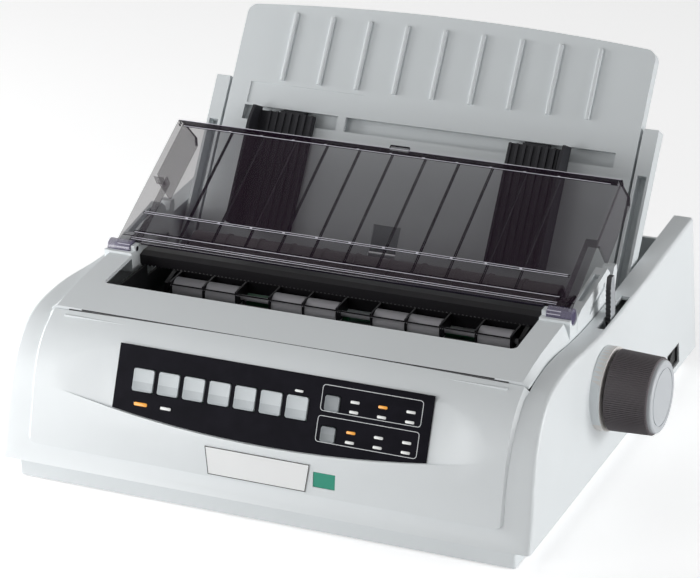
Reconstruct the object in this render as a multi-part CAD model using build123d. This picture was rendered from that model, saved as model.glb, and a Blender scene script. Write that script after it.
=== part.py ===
from build123d import *
from math import atan2, cos, degrees, hypot, radians, sin
import os

# Desktop dot matrix printer.  Millimetres, X to the right, Y to the back, Z up.
# The sizes below are measured from the middle of the casing's footprint on the desk.
# The finished pieces are moved at the end, so that the origin is the middle of the whole
# object's base.

# ---- casing ----
case_half = 199.0            # half of the casing's width at its lower rim
case_top_half = 195.3        # the side walls draw in towards the top of the arms
case_top = 113.0
case_front = -172.5
case_rear = 173.0
case_rim = 15.0              # height of the upper casing's lower rim above the desk
wall = 2.8
edge_round = 3.0
arm_inner = 179.8            # inner face of the two side arms
arm_wall = 2.4
parting = -122.0             # joint between the front and the access cover
rear_wall_top = 98.0
arm_wall_low = 38.0          # the arms' inner walls go down to here
shaft_hole_r = 8.0           # hole for the platen's shaft in the side walls
cover_rest = (166.0, 107.4, 110.4)   # half width, underside and top of the ledge under the cover
side_curve = [(case_front, case_rim), (-163.4, 41.4), (-156.5, 65.5), (-149.6, 82), (-138.6, 96.9),
              (-122.5, 107.8), (-105, 111.6), (-82, 112.8), (-35, 109.2), (35, 110), (100, 113.4),
              (case_rear, 117.8)]

# ---- raised front ----
front_half = 176.5           # half width of its outer face
front_flank = 3.7            # width of its sloping sides
front_depth = 4.0            # how far they fall back
front_corner = 9.0           # its lower corners are rounded
front_back = [(parting, 98), (-148, 70), (-150, 28.5)]   # its back, inside the casing
front_low = (-169.4, 28.5)
front_lip = (-165.6, 54.0)
front_curve = [front_lip, (-161.2, 66.0), (-152.4, 86), (-140.0, 103.4), (-131, 109.6), (parting, 113.6)]
side_low = (-169.2, 28.5)    # the same points at its left and right edges
side_lip = (-162.2, 52.0)
side_edge = [side_lip, (-157.6, 68.0), (-148.2, 89), (-135.6, 103.0), (-129, 107.4), (parting, 111.6)]

# ---- control panel ----
panel_slope = 66.0           # degrees from horizontal
panel_y, panel_z = -155.0, 70.0
panel_left, panel_right = -114.0, 121.0
panel_top = 36.8
panel_corner = -8.5          # lower corners
panel_dip = -16.5            # lowest point of the curved lower edge
panel_gap = 0.6              # from the panel's edge to the lip round it
seat_thick = 2.6
overlay_thick = 1.0
overlay_gap = 0.4            # between the overlay's top edge and its seat
scoop_end = 169.0
scoop_rise = 4.6
key_size = 15.8
key_pitch = 19.4
key_first = -92.5
key_row = 13.2
key_count = 7
small_key = 10.6
small_key_u = 49.0
small_key_rows = (19.8, -1.2)
key_proud = 1.1
key_gap = 0.3
key_flange = 1.0             # its flange is wider than the cap by this at each side
key_window = 1.5             # and the hole in the seat is wider than the cap by this
lamp_size = (6.4, 1.9)
lamp_columns = (65.2, 85.4, 105.7)
lamp_rows = (23.1, 16.4, 2.6, -4.0)
long_lamp, long_lamp_row = (10.0, 2.6), -3.4
end_lamp, end_lamp_row = (6.0, 1.6), 24.4
lamp_thick = 0.5
board_depth = 7.4            # from the seat to the back of the keys' circuit board
board_middle, board_size = (3.0, 11.0), (232.0, 44.0)
board_sheet, board_lift, board_clear = 1.6, 0.6, 1.0
board_posts = ((-104, -5), (-5, -5), (62, 28), (112, 28))
board_post_r = 2.5
switch_r, switch_high = 3.2, 0.7

# ---- badge plate and label below the panel ----
badge_top, badge_low = 39.4, 36.6
badge_z = (30.2, 50.0)
label_x, label_size = 50.0, (16.0, 10.5)
plate_thick = 1.0
plate_sunk = 0.5
label_sink = 0.9
plate_clear = 0.15

# ---- lower casing ----
foot_height = 1.0
foot_seat = 1.0               # how deep a foot's pad sits in the casing
foot_r = 9.0
foot_x, foot_y = 160.0, 140.0
base_half = 187.0
base_front, base_rear = -168.0, 167.0
base_wall = 3.0
base_corner = 2.0
floor_thick = 4.0
floor_top = foot_height + floor_thick
rim_clear = 0.3
rim_height = 8.0              # how far the lower casing's rim stands inside the upper one
rim_step = 1.5
foot_clear = 0.1

# ---- access cover ----
cover_gap = 0.7
cover_half = arm_inner - cover_gap
cover_top = [(parting + cover_gap, 113.8), (-104, 117.2), (-87, 119.6), (-45, 122.8), (-30, 123.4)]
cover_drop = (2.2, 5.4, 8.6, 12.4, 13.0)     # from the top edge down to the arm beside it
cover_edge = 174.8
cover_thick = 2.6
opening_half = 156.5
opening_front = -86.9
ear_x = 170.5
ear_tip = (30.0, 133.5)
lid_rest = 129.2             # height of the rear clip that the lid's flange rests on
cover_axis = (36.0, 104.0)
pin_r = 3.0
pin_clear = 0.05

# ---- tear bar ----
tear_section = [(-32, 112), (-32, 119), (-26, 120.5), (-14, 120.5), (-14, 118.2), (-24, 118),
                (-29.6, 116.6), (-29.6, 112)]
tooth_pitch, tooth_drop = 3.0, 1.6

# ---- smoke lid ----
lid_slope = 28.4
lid_axis = (-35.0, 124.6)
lid_length = 122.0
lid_thick = 2.0
lid_half = 175.0
lid_inner = 165.0
lid_step = 70.0
lid_crease = 32.0
lid_first_rib = 16.0
lid_rib_pitch = 25.9
lid_rib_count = 11
barrel_r = 5.6
barrel_in = 160.0
barrel_gap = 0.4             # round the lid's barrels, in the cover's cradles
lid_pin_r = 2.0
flange_x = 173.4
flange_depth = 34.0
flange_thick = 2.2
flange_reach = 133.0

# ---- paper separator ----
sep_slope = 54.8
sep_pivot = (80.0, 91.4)
sep_offset = 9.0             # from the pivot to the sheet's front face
sheet_half = 164.0
sheet_thick = 2.5
sheet_low = -8.0
sheet_corner = 179.0
sheet_crown = 186.0
sheet_flange = 10.0
slot_low, slot_high = 89.2, 100.4
slot_half = 149.0
slot_post = (-71.0, -64.5)
sheet_ribs = 9
sheet_rib_pitch = 30.6
sheet_rib_span = (122.0, 175.0)
patch_x, patch_s = (-148.0, -54.4), (102.4, 118.8)
notch_middle, notch_size = (-13.0, 8.0), (22.0, 30.0)   # in the sheet's foot
sep_arm_in, sep_arm_out = 166.0, 177.6
sep_arm_top = 121.0
sep_arm_foot = 14.0          # how far the arms go on below the sheet's foot
arm_depth = 12.0
bracket_in = 154.0
bracket_span = (24.0, 100.0)
sep_arm_wall = 2.2
channel_top = 86.0
groove_lip = 4.6             # the rail's groove goes this far past the slot's edges
groove_wall = 1.8

# ---- sheet guides ----
guide_plate = 39.5
guide_foot = 8.0             # from the fin's outer face to the ribbed plate
guide_left = -135.5          # outer edge of the left guide
guide_right = 115.5          # outer edge of the right guide
guide_ridges = 7
fin_height = 18.0
guide_top, guide_low = 97.0, 6.0
guide_hook = 20.0
hook_thick = 2.4
hook_gap = 0.3               # from the hook to the back of the sheet
hook_lip = 4.0               # the hook's reach past the slot's edges

# ---- platen and paper feed ----
platen_axis = (-25.0, 70.0)
platen_r = 17.0
platen_half = 136.0
shaft_r = 5.0
frame_x = 150.0              # inner face of the side frames
frame_thick = 2.0
gear_module = 1.0
gear_thick = 6.0
gear_gap = 1.0               # between a gear and the side frame
motor_shaft_r = 2.0
motor_r, motor_length = 18.0, 26.0
stud_r = 2.95                # studs that the two gears and the lever turn on
stud_bore = 3.0
shaft_square = 8.0
journal_r = 4.2              # round ends of the tractors' square shaft
support_r = 3.0
tractor_home = 110.0
frame_outline = [(-100, 22), (-100, 104), (-91, 113), (-34, 113), (-34, 104), (41, 104), (48, 79),
                 (124, 79), (132, 60), (132, 22)]
platen_teeth, idler_teeth, transfer_teeth, tractor_teeth, pinion_teeth = 48, 26, 60, 32, 16
idler_turn, transfer_turn, tractor_turn, pinion_turn = -42.0, 22.0, 12.0, -75.0

# ---- knob ----
collar_r, collar_thick = 29.5, 4.5
knob_r, knob_end_r = 28.3, 27.0
knob_start, knob_end = 206.0, 236.0
knob_ribs, knob_rib, knob_groove = 60, 1.5, 1.0
knob_grip = 20.0             # how far the shaft goes into the knob
cap_ring = (19.7, 20.6)      # inner and outer radius of the groove round the cap's face
cap_r, cap_thick = 25.4, 3.0

# ---- chute behind the platen ----
chute_axis = (30.0, 103.0)
chute_half = 144.0
chute_r, chute_thick = 11.5, 2.0
chute_rings, chute_ring = 10, 0.9        # raised rings round it, and how far they stand out

# ---- paper bail ----
bail_axis = (6.0, 96.0)
bail_roller_r = 7.5
bail_cell = 26.4
bail_cells = 10
bail_gap = 0.3
bail_pin_r = 2.5
bail_rod_r = 2.0

# ---- chassis ----
tray_low, tray_top = 18.0, 20.0
post_r = 5.0
board_low, board_thick = 10.0, 1.6

# ---- carriage ----
rail_axis = (-78.0, 58.0)
rail_r = 5.0
carriage_home = -124.0
carriage_half = 23.0
head_gap = 1.0
cartridge_rise = 20.2        # from the platen's axis up to the ribbon cartridge
ribbon_knob_r = 5.0
belt_end = 22.0              # from each side frame in to the pulley's axis
belt_half = frame_x - belt_end
carriage_motor_half = 16.0
belt_drop = 18.0             # from the rail down to the belt
belt_thick, belt_gap = 1.3, 0.3
pulley_r = 6.0
pulley_pin_r = 1.5
pulley_pin_top = 5.5         # how far the pulleys' pins stand above the belt's middle

# ---- lever, switch, rear ----
lever_x, lever_axis = (187.6, 191.4), (8.0, 62.0)
lever_top = 139.0
lever_ribs, lever_rib_pitch = 8, 3.4
slot_x, slot_y = (186.4, 192.6), (-14.0, 39.0)
rocker_y, rocker_z = (106.5, 132.5), (19.5, 35.0)
rocker_clear = 3.2           # from the rocker's ends to the switch's opening
rocker_pin_r = 1.2
switch_wall = 1.7
inlet_x, inlet_half, inlet_z = -120.0, 14.0, (30.0, 52.0)
socket_half, socket_z = 30.0, (30.0, 48.0)
socket_clear = 0.3


def block(x0, x1, y0, y1, z0, z1):
    return Pos((x0 + x1) / 2, (y0 + y1) / 2, (z0 + z1) / 2) * Box(x1 - x0, y1 - y0, z1 - z0)


def rod(x0, x1, centre, radius):
    """A round bar along X."""
    return Pos((x0 + x1) / 2, *centre) * Rot(0, 90, 0) * Cylinder(radius, x1 - x0)


def prism(points, x0, x1):
    """A polygon of (y, z) points, drawn out along X."""
    outline = Polyline(*[(x0, y, z) for y, z in points], close=True)
    return extrude(make_face(outline), amount=x1 - x0, dir=(1, 0, 0))


def curved_prism(curve, corners, x0, x1):
    """A smooth (y, z) curve closed by straight lines through the corners, drawn out along X."""
    edge = Spline(*[(x0, y, z) for y, z in curve])
    rest = Polyline(*[(x0, y, z) for y, z in [curve[-1], *corners, curve[0]]])
    return extrude(make_face(Curve() + [edge, rest]), amount=x1 - x0, dir=(1, 0, 0))


def tilted(centre, slope):
    """The place of a sheet that leans back: X along its width, Y up its slope, Z out of its face."""
    turn = radians(slope)
    return Plane(origin=(0, *centre), x_dir=(1, 0, 0), z_dir=(0, -sin(turn), cos(turn))).location


def both(shape):
    """The shape and its mirror image on the other side of the middle."""
    return shape + mirror(shape, about=Plane.YZ)


def group(pieces):
    """Separate solids that share one node."""
    return Compound([solid for piece in pieces for solid in piece.solids()])


def inset(curve, depth):
    """The (y, z) points of a curve moved inwards by the wall's depth."""
    moved = []
    for i, (y, z) in enumerate(curve):
        y0, z0 = curve[max(i - 1, 0)]
        y1, z1 = curve[min(i + 1, len(curve) - 1)]
        run = hypot(y1 - y0, z1 - z0)
        moved.append((y + depth * (z1 - z0) / run, z - depth * (y1 - y0) / run))
    return moved


weld = 0.2                   # how far a rib or post runs into the wall that it grows from
board_top = -board_depth + board_lift + board_sheet
panel_at = tilted((panel_y, panel_z), panel_slope)
lid_at = tilted(lid_axis, lid_slope)
sep_turn = radians(sep_slope)
sep_foot = (sep_pivot[0] - sep_offset * sin(sep_turn), sep_pivot[1] + sep_offset * cos(sep_turn))
sep_at = tilted(sep_foot, sep_slope)
key_places = [(key_first + key_pitch * i, key_row, key_size) for i in range(key_count)]
key_places += [(small_key_u, row, small_key) for row in small_key_rows]
key_names = ["select_key", "shift_key", "line_feed_key", "form_feed_key", "tear_off_key", "park_key",
             "quiet_key", "quality_key", "pitch_key"]


# ---------------------------------------------------------------- casing
def drawn_in(margin):
    """The space between the side walls, which lean in; margin is the depth inside their faces."""
    rise = 2 * case_top
    lean = (case_half - case_top_half) / (case_top - case_rim)
    low, high = case_half - margin, case_half - margin - lean * rise
    section = Polyline((-low, 0, case_rim), (low, 0, case_rim), (high, 0, case_rim + rise),
                       (-high, 0, case_rim + rise), close=True)
    space = extrude(make_face(section), amount=2 * case_half, dir=(0, 1, 0), both=True)
    return space + block(-low, low, -2 * case_half, 2 * case_half, case_rim - 5, case_rim)


def upper_casing():
    body = curved_prism(side_curve, [(case_rear, case_rim)], -case_half, case_half) & drawn_in(0)
    sides = [e for e in body.edges()
             if abs(e.center().X) > case_top_half - 2 and e.center().Z > case_rim + 1 and e.length > 20]
    body = fillet(sides, edge_round)
    body += front_block()
    inner = [(case_front + wall, case_rim - 1)] + inset(side_curve, wall)[1:-1]
    inner.append((case_rear - wall, side_curve[-1][1] - wall))
    hollow = curved_prism(inner, [(case_rear - wall, case_rim - 1)], -case_half, case_half) & drawn_in(wall)
    arm_walls = both(block(arm_inner, arm_inner + arm_wall, parting, case_rear, arm_wall_low, 2 * case_top))
    seat = Box(panel_right - panel_left + 6, panel_top - panel_dip - 3, seat_thick)
    seat = Pos((panel_left + panel_right) / 2, (panel_top + panel_dip) / 2, -seat_thick / 2) * seat
    seat = panel_at * seat
    body -= hollow - arm_walls - seat
    body -= block(-arm_inner, arm_inner, parting, case_rear + 1, rear_wall_top, 2 * case_top)
    rest_half, rest_low, rest_high = cover_rest
    body += block(-rest_half, rest_half, parting - 5, parting + 6, rest_low, rest_high)
    body -= panel_cut()
    body += rod(case_top_half + 1, case_half + collar_thick, platen_axis, collar_r)
    body -= rod(arm_inner - 1, case_half + 10, platen_axis, shaft_hole_r)
    body -= block(*slot_x, *slot_y, 90, 130)
    body -= block(case_half - 8, case_half + 1, *rocker_y, *rocker_z)
    body -= plate_pockets()
    for pin in (cover_axis, sep_pivot):
        body -= both(rod(arm_inner - 1, arm_inner + arm_wall + 1, pin, pin_r))
    body -= rear_cutouts()
    room = Box(board_size[0] + 2 * board_clear, board_size[1] + 2 * board_clear,
               board_depth + board_clear - seat_thick)
    body -= panel_at * (Pos(*board_middle, -(seat_thick + board_depth + board_clear) / 2) * room)
    for u, v in board_posts:
        pillar = Cylinder(board_post_r, -seat_thick - board_top + weld)
        body += panel_at * (Pos(u, v, (board_top - seat_thick + weld) / 2) * pillar)
    return body


def front_block():
    """The raised front: bowed a little in plan, with sloping sides."""
    def section(x, back=0.0):
        share = (x / front_half) ** 2
        curve = []
        for (y0, z0), (y1, z1) in zip(front_curve, side_edge):
            curve.append((y0 + share * (y1 - y0), z0 + share * (z1 - z0)))
        low = (front_low[0] + share * (side_low[0] - front_low[0]), front_low[1])
        if back:
            curve = inset(curve, back)
            low = (low[0] + back, low[1] + 1)
            curve[-1] = (parting, curve[-1][1])
        top = Spline(*[(x, y, z) for y, z in curve])
        rest = Polyline(*[(x, y, z) for y, z in [curve[-1], *front_back, low, curve[0]]])
        return make_face(Curve() + [top, rest])

    middle = loft([section(front_half * share) for share in (-1, -0.5, 0, 0.5, 1)])
    reach = front_half + front_flank
    side = loft([section(front_half), section(reach, front_depth)], ruled=True)
    bounds = block(-reach, reach, 2 * case_front, parting, front_low[1], 2 * case_top)
    low_corners = bounds.edges().filter_by(Axis.Y).group_by(Axis.Z)[0]
    return (middle + both(side)) & fillet(low_corners, front_corner)


def lip(x, gap):
    """Height of the curved lower edge of the panel, moved outwards by the gap."""
    middle = (panel_left + panel_right) / 2
    half = (panel_right - panel_left) / 2
    sag = panel_corner - panel_dip
    radius = (half ** 2 + sag ** 2) / (2 * sag)
    return panel_dip - gap + radius - (radius ** 2 - (x - middle) ** 2) ** 0.5


def panel_cut():
    """The flat seat of the control panel, and the scoops that run out to its left and right."""
    left, right = panel_left - panel_gap, panel_right + panel_gap
    floor = Polyline((left, 0), (right, 0)) + Spline(
        (right, 0), (right + (scoop_end - right) * 0.5, scoop_rise * 0.3), (scoop_end, scoop_rise),
        tangents=[(1, 0), (1, 0.25)])
    floor += Polyline((scoop_end, scoop_rise), (scoop_end, 14), (-scoop_end, 14), (-scoop_end, scoop_rise))
    floor += Spline((-scoop_end, scoop_rise), (left - (scoop_end + left) * 0.5, scoop_rise * 0.3), (left, 0),
                    tangents=[(1, -0.25), (1, 0)])
    across = Plane(origin=(0, 0, 0), x_dir=(1, 0, 0), z_dir=(0, -1, 0)).location
    run = extrude(across * make_face(floor), amount=80, both=True)
    end = scoop_end + 2
    middle = (panel_left + panel_right) / 2
    top = panel_top + panel_gap
    upright = Polyline((-end, lip(-end, panel_gap)), (-end, top), (end, top), (end, lip(end, panel_gap)))
    upright += ThreePointArc((end, lip(end, panel_gap)), (middle, lip(middle, panel_gap)),
                             (-end, lip(-end, panel_gap)))
    window = extrude(make_face(upright), amount=20, both=True)
    cut = run & window
    for u, v, size in key_places:
        hole = size + 2 * key_window
        cut += Pos(u, v, -4) * Box(hole, hole, 10)
    return panel_at * cut


def front_plates(grow=0.0, lift=0.0):
    """The badge plate and the small label, or with grow and lift the pockets that they sit in."""
    lean = tilted(front_low, degrees(atan2(front_lip[1] - front_low[1], front_lip[0] - front_low[0])))
    low, high = badge_z[0] - front_low[1], badge_z[1] - front_low[1]
    face = Polyline((-badge_low - grow, low - grow), (badge_low + grow, low - grow),
                    (badge_top + grow, high + grow), (-badge_top - grow, high + grow), close=True)
    depth = plate_thick + lift
    badge = Pos(0, 0, -plate_sunk) * extrude(make_face(face), amount=depth)
    width, height = label_size[0] + 2 * grow, label_size[1] + 2 * grow
    label = Pos(label_x, (low + high) / 2, -plate_sunk + depth / 2) * Box(width, height, depth)
    return lean * group([badge, Pos(0, 0, -label_sink) * label])


def plate_pockets():
    badge, label = front_plates(plate_clear, 5).solids()
    return badge + label


def rear_cutouts():
    inlet = block(inlet_x - inlet_half, inlet_x + inlet_half, case_rear - 8, case_rear + 2, *inlet_z)
    return inlet + block(-socket_half, socket_half, case_rear - 8, case_rear + 2, *socket_z)


def lower_casing():
    top = case_rim + rim_height
    tray = block(-base_half, base_half, base_front, base_rear, foot_height, case_rim - 1)
    ledge_half = case_half - wall - 0.8 - rim_clear
    ledge = block(-ledge_half, ledge_half, case_front + wall + rim_step,
                  case_rear - wall - rim_clear, case_rim - 1, case_rim + 2)
    rim = block(-ledge_half + 1, ledge_half - 1, case_front + 9, case_rear - wall - rim_step,
                case_rim, top)
    body = fillet(tray.edges().filter_by(Axis.Z), base_corner) + ledge + rim
    body -= block(-base_half + base_wall, base_half - base_wall, base_front + base_wall + 2,
                  base_rear - base_wall, floor_top, top + 1)
    for x in (-foot_x, foot_x):
        for y in (-foot_y, foot_y):
            body -= Pos(x, y, foot_height) * Cylinder(foot_r + foot_clear, 2 * foot_seat)
    body -= block(case_half - 16, case_half, *rocker_y, *rocker_z)
    return body


# ---------------------------------------------------------------- access cover
def cover_flank():
    """The sloping side of the cover, from its top edge down to the arm beside it."""
    sections = []
    for (y, z), drop in zip(cover_top, cover_drop):
        corner = [(cover_edge - 0.1, y, z), (cover_edge, y, z), (cover_half, y, z - drop),
                  (cover_half, y, z - drop - 2), (cover_edge - 2.6, y, z - cover_thick)]
        sections.append(make_face(Polyline(*corner, close=True)))
    return loft(sections, ruled=True)


def access_cover():
    low = [(y, z - cover_thick) for y, z in reversed(cover_top)]
    plate = prism(cover_top + low, -cover_edge, cover_edge)
    hole = block(-opening_half, opening_half, opening_front, 0, 90, 140)
    plate -= fillet(hole.edges().filter_by(Axis.Z), 4)
    body = plate + both(cover_flank())
    ear = [(-30, 106), (-30, 121), (-22, 124.4), (ear_tip[0] - 7, ear_tip[1] - 1.6), ear_tip, (35, 129),
           (36.5, 124), (41, 123.6), (44, lid_rest), (49.5, lid_rest), (50, 124), (46, 112), (43.5, 98.5),
           (36, 96.5), (10, 97)]
    ear_body = prism(ear, ear_x, cover_half)
    channel = [(-12, 121), (22, 128.4), (22, 140), (-12, 140)]
    ear_body -= prism(channel, ear_x + 2, cover_half - 2.4)
    pocket = [(-5, 113), (25, 121.5), (25, 125.5), (-5, 118)]
    ear_body -= prism(pocket, cover_half - 1.2, cover_half + 1)
    ear_body -= rod(ear_x - 1, cover_half + 1, cover_axis, pin_r + pin_clear)
    body += both(ear_body)
    body -= both(rod(barrel_in - 1, cover_half + 1, lid_axis, barrel_r + barrel_gap))
    cradle = block(barrel_in - 3.4, cover_half - 0.2, lid_axis[0] - 9, lid_axis[0] + 6.5, 110,
                   lid_axis[1])
    cradle -= rod(barrel_in - barrel_gap, cover_half + 1, lid_axis, barrel_r + barrel_gap)
    body += both(cradle)
    body += both(block(barrel_in - 3.4, barrel_in - barrel_gap, lid_axis[0] - 4, lid_axis[0] + 3,
                       118, lid_axis[1] + 3.4))
    return body - both(rod(barrel_in - 10, barrel_in, lid_axis, lid_pin_r + pin_clear))


def tear_bar():
    half = opening_half - 0.2
    body = prism(tear_section, -barrel_in + 3.4, barrel_in - 3.4)
    front, root = tear_section[0]
    saw = []
    for i in range(int(2 * half / tooth_pitch)):
        x = -half + tooth_pitch * i
        saw += [(x, root), (x + tooth_pitch / 2, root - tooth_drop)]
    end = half - tooth_pitch / 2
    saw += [(end, root), (end, root + 1), (-half, root + 1)]
    outline = Polyline(*[(x, front, z) for x, z in saw], close=True)
    return body + extrude(make_face(outline), amount=1.6, dir=(0, 1, 0))


# ---------------------------------------------------------------- smoke lid
def smoke_lid():
    sheet = Pos(0, (lid_length + 6) / 2, 0) * Box(2 * lid_half, lid_length - 6, lid_thick)
    body = sheet
    for along in (7.5, 14.0, lid_crease):
        body += Pos(0, along, 0.9) * Box(2 * lid_inner, 1.6, 2.2)
    body += Pos(0, lid_length - 1, -1.5) * Box(2 * lid_half, 2, 5)
    body += Pos(0, lid_length - 5, 0.9) * Box(2 * lid_half - 12, 1.2, 1.6)
    body += Pos(4, lid_length + 1, 0) * Box(15, 5, lid_thick)
    for i in range(lid_rib_count):
        x = lid_rib_pitch * (i - (lid_rib_count - 1) / 2)
        body += Pos(x, (lid_first_rib + lid_length - 3) / 2, -1.8) * Box(
            1.2, lid_length - 3 - lid_first_rib, 2.6)
    body += both(Pos(lid_inner - 1, (6 + lid_step) / 2, -5) * Box(2, lid_step - 6, 10))
    step = Box(flange_x - lid_inner + 2, 2, 10)
    body += both(Pos((lid_inner + flange_x) / 2 - 1, lid_step - 1, -5) * step)
    drop = Polyline((0, lid_step - 2, 0), (0, lid_length, 0), (0, flange_reach - 3, -flange_depth + 6),
                    (0, flange_reach - 6, -flange_depth), (0, lid_step + 4, -flange_depth), close=True)
    flange = Pos(flange_x - flange_thick, 0, 0) * make_face(drop)
    body += both(extrude(flange, amount=flange_thick, dir=(1, 0, 0)))
    body = lid_at * body
    front = rod(-barrel_in + 4.5, barrel_in - 4.5, (lid_axis[0] + 4.8, lid_axis[1] + 3.2), 1.6)
    body += front
    barrel = rod(barrel_in + 0.3, cover_half - 1, lid_axis, barrel_r)
    neck = Box(lid_half - barrel_in - 2, 12, 3.2)
    neck = lid_at * (Pos((barrel_in + lid_half) / 2 + 0.5, 6, -0.4) * neck)
    body += both(barrel + neck)
    return body + both(rod(barrel_in - 3.2, barrel_in + 1, lid_axis, lid_pin_r))


# ---------------------------------------------------------------- paper separator
def paper_separator():
    crown = Polyline((-sheet_half, sheet_corner), (-sheet_half, sheet_low), (sheet_half, sheet_low),
                     (sheet_half, sheet_corner))
    crown += ThreePointArc((sheet_half, sheet_corner), (0, sheet_crown), (-sheet_half, sheet_corner))
    face = fillet(make_face(crown).vertices().group_by(Axis.Y)[-1], 8)
    body = extrude(face, amount=-sheet_flange)
    inner = offset(face, amount=-sheet_thick)
    body -= Pos(0, 0, -sheet_thick) * extrude(inner, amount=-sheet_flange)
    for x0, x1 in ((-slot_half, slot_post[0]), (slot_post[1], slot_half)):
        body -= Pos((x0 + x1) / 2, (slot_low + slot_high) / 2, 0) * Box(x1 - x0, slot_high - slot_low, 12)
    middle = (patch_s[0] + patch_s[1]) / 2
    body -= Pos(sum(patch_x) / 2, middle, 0) * Box(patch_x[1] - patch_x[0], patch_s[1] - patch_s[0], 1.6)
    for i in range(sheet_ribs):
        x = sheet_rib_pitch * (i - (sheet_ribs - 1) / 2)
        low, high = sheet_rib_span
        rib = Box(3.2, high - low, 3)
        rib = fillet(rib.edges().filter_by(Axis.Y).group_by(Axis.Z)[-1], 1.1)
        body += Pos(x, (low + high) / 2, 1.0) * rib
    body -= Pos(*notch_middle, 0) * Box(*notch_size, 2 * sheet_flange)
    return sep_at * body


def guide_rail():
    """The channel behind the sheet's slot, in which the hooks of the sheet guides run."""
    floor = sheet_thick + 2 * hook_gap + hook_thick
    middle = (slot_low + slot_high) / 2
    width = slot_high - slot_low + 2 * groove_lip
    depth = floor + groove_wall - sheet_thick
    rail = Pos(0, middle, -sheet_thick - depth / 2) * Box(2 * slot_half + 2 * groove_wall,
                                                          width + 2 * groove_wall, depth)
    groove = Box(2 * slot_half, width, floor - sheet_thick)
    rail -= Pos(0, middle, -sheet_thick - (floor - sheet_thick) / 2) * groove
    return sep_at * rail


def separator_arm():
    """The right arm, with the bracket that it holds the sheet by."""
    width = sep_arm_out - sep_arm_in
    middle = (sep_arm_in + sep_arm_out) / 2
    arm = Pos(middle, (sep_arm_top - sep_arm_foot) / 2, -arm_depth / 2) * Box(
        width, sep_arm_top + sep_arm_foot, arm_depth)
    arm -= Pos(middle, (channel_top - 20) / 2, -3.5) * Box(width - 2 * sep_arm_wall, channel_top + 20, 12.2)
    low, high = bracket_span
    arm += Pos((bracket_in + sep_arm_in + 1) / 2, (low + high) / 2, -sheet_flange - 1) * Box(
        sep_arm_in + 1 - bracket_in, high - low, 2)
    arm = sep_at * arm
    arm += rod(sep_arm_in, sep_arm_out, sep_pivot, pin_r + 3)
    return arm - rod(sep_arm_in - 1, sep_arm_out + 1, sep_pivot, pin_r + pin_clear)


def separator_frame():
    """What carries the sheet: an arm on each side, and the rail of the sheet guides."""
    right = separator_arm()
    return group([mirror(right, about=Plane.YZ), right, guide_rail()])


def sheet_guide(side):
    """side is -1 for the left guide and 1 for the right one, drawn with its outer edge at 0."""
    fin = Polyline((0, guide_low, 0.4), (0, guide_top + 3, 0.4), (0, guide_top + 1, fin_height - 4),
                   (0, guide_top - 12, fin_height), (0, guide_low, fin_height), close=True)
    body = extrude(make_face(fin), amount=2.4, dir=(1, 0, 0))
    length = guide_top - guide_low
    middle = (guide_top + guide_low) / 2
    body += Pos(guide_foot / 2, middle, 1.6) * Box(guide_foot, length, 2.4)
    body += Pos(guide_foot + guide_plate / 2, middle, 1.9) * Box(guide_plate, length, 3)
    for i in range(guide_ridges):
        x = guide_foot + 3 + i * (guide_plate - 5) / (guide_ridges - 1)
        body += Pos(x, middle, 4) * Box(2.0, length, 2.2)
    hook_x = guide_foot + guide_plate / 2
    middle = (slot_low + slot_high) / 2
    body += Pos(hook_x, middle, -2) * Box(guide_hook, slot_high - slot_low - 2.8, 6)
    body += Pos(hook_x, middle, -sheet_thick - hook_gap - hook_thick / 2) * Box(
        guide_hook, slot_high - slot_low + 2 * hook_lip, hook_thick)
    edge = guide_left
    if side > 0:
        body = mirror(body, about=Plane.YZ)
        edge = guide_right
    return sep_at * (Pos(edge, 0, 0) * body)


# ---------------------------------------------------------------- keys and panel
def control_panel():
    top = panel_top - overlay_gap
    outline = Polyline((panel_left, panel_corner), (panel_left, top), (panel_right, top),
                       (panel_right, panel_corner))
    middle = (panel_left + panel_right) / 2
    outline += ThreePointArc((panel_right, panel_corner), (middle, panel_dip), (panel_left, panel_corner))
    sheet = extrude(make_face(outline), amount=overlay_thick)
    for u, v, size in key_places:
        sheet -= Pos(u, v, 0) * Box(size + 2 * key_gap, size + 2 * key_gap, 4)
    for u, v, size in lamp_places():
        sheet -= Pos(u, v, overlay_thick) * Box(*size, 2 * lamp_thick)
    return panel_at * sheet


def lamp_places():
    places = [(u, v, lamp_size) for u in lamp_columns for v in lamp_rows]
    places += [(key_first + key_pitch * i, long_lamp_row, long_lamp) for i in (0, 1)]
    places.append((key_first + key_pitch * (key_count - 1), end_lamp_row, end_lamp))
    return places


def panel_lamps():
    height = overlay_thick - lamp_thick / 2
    lamps = [Pos(u, v, height) * Box(*size, lamp_thick) for u, v, size in lamp_places()]
    return panel_at * group(lamps)


def key(u, v, size):
    cap = Pos(0, 0, (overlay_thick + key_proud) / 2 - 0.2) * Box(size, size, overlay_thick + key_proud + 0.4)
    cap = fillet(cap.edges().filter_by(Axis.Z), 1.6)
    cap = fillet(cap.faces().sort_by(Axis.Z)[-1].edges(), 0.5)
    flange = Pos(0, 0, -0.9) * Box(size + 2 * key_flange, size + 2 * key_flange, 1.0)
    stem = Pos(0, 0, -2.3) * Cylinder(2.4, 2.0)
    return panel_at * (Pos(u, v, 0) * (cap + flange + stem))


def key_board():
    board = Pos(*board_middle, board_top - board_sheet / 2) * Box(*board_size, board_sheet)
    for u, v, _ in key_places:
        board += Pos(u, v, board_top - weld / 2 + switch_high / 2) * Cylinder(switch_r, switch_high)
    return panel_at * board


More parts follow.
